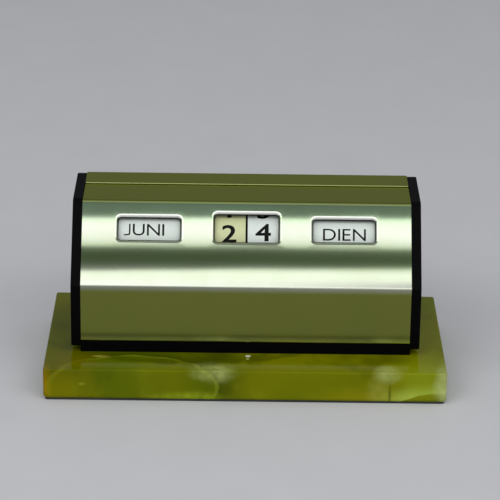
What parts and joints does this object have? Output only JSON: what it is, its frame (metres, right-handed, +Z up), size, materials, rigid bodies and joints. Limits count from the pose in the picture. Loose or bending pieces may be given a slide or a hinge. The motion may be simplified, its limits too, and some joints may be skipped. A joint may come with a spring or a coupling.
{
  "type": "flip desk calendar",
  "caption": "Perpetual desk calendar: a folded gold metal case with windows for month, date and weekday, on a green stone slab, with four hand-set drums on a shaft.",
  "frame": {"origin": "middle of the slab's underside, on the surface that the calendar stands on", "axes": "+X to the reader's right along the slab, +Y to the back, +Z up"},
  "size_m": [0.2, 0.1, 0.0885],
  "materials": {
    "onyx": "polished green onyx with pale and amber veins",
    "felt": "dark green felt",
    "gold_aluminium": "pale gold anodised, bright with a fine lengthwise grain",
    "black_plastic": "moulded black, satin",
    "drum_plastic": "moulded black",
    "sleeve_plastic": "moulded natural white",
    "white_label": "printed white strip",
    "cream_label": "printed strip, yellowed to cream",
    "bright_steel": "ground steel rod",
    "zinc_steel": "zinc plated",
    "black_steel": "blackened steel"
  },
  "bodies": {
    "case": {"onyx_base": "onyx", "base_felt": "felt", "base_screws": "zinc_steel", "base_washers": "zinc_steel", "plinth": "black_plastic", "left_end_plate": "black_plastic", "right_end_plate": "black_plastic", "plate_screws": "black_steel", "front_cover": "gold_aluminium", "rear_cover": "gold_aluminium", "rear_cover_screws": "black_steel", "tie_rod": "zinc_steel", "drum_shaft": "bright_steel", "inner_sleeves": "sleeve_plastic", "outer_sleeves": "sleeve_plastic", "drum_washers": "zinc_steel", "date_divider": "drum_plastic"},
    "month": {"month_drum": "drum_plastic", "month_label": "white_label"},
    "tens": {"tens_drum": "drum_plastic", "tens_label": "cream_label"},
    "units": {"units_drum": "drum_plastic", "units_label": "white_label"},
    "weekday": {"weekday_drum": "drum_plastic", "weekday_label": "white_label"}
  },
  "joints": [
    {"name": "month_spin", "type": "hinge", "parent": "case", "child": "month", "pos_m": [0, 0.00919, 0.06342], "axis": [1, 0, 0], "continuous": true},
    {"name": "tens_spin", "type": "hinge", "parent": "case", "child": "tens", "pos_m": [0, 0.00919, 0.06342], "axis": [1, 0, 0], "continuous": true},
    {"name": "units_spin", "type": "hinge", "parent": "case", "child": "units", "pos_m": [0, 0.00919, 0.06342], "axis": [1, 0, 0], "continuous": true},
    {"name": "weekday_spin", "type": "hinge", "parent": "case", "child": "weekday", "pos_m": [0, 0.00919, 0.06342], "axis": [1, 0, 0], "continuous": true}
  ]
}
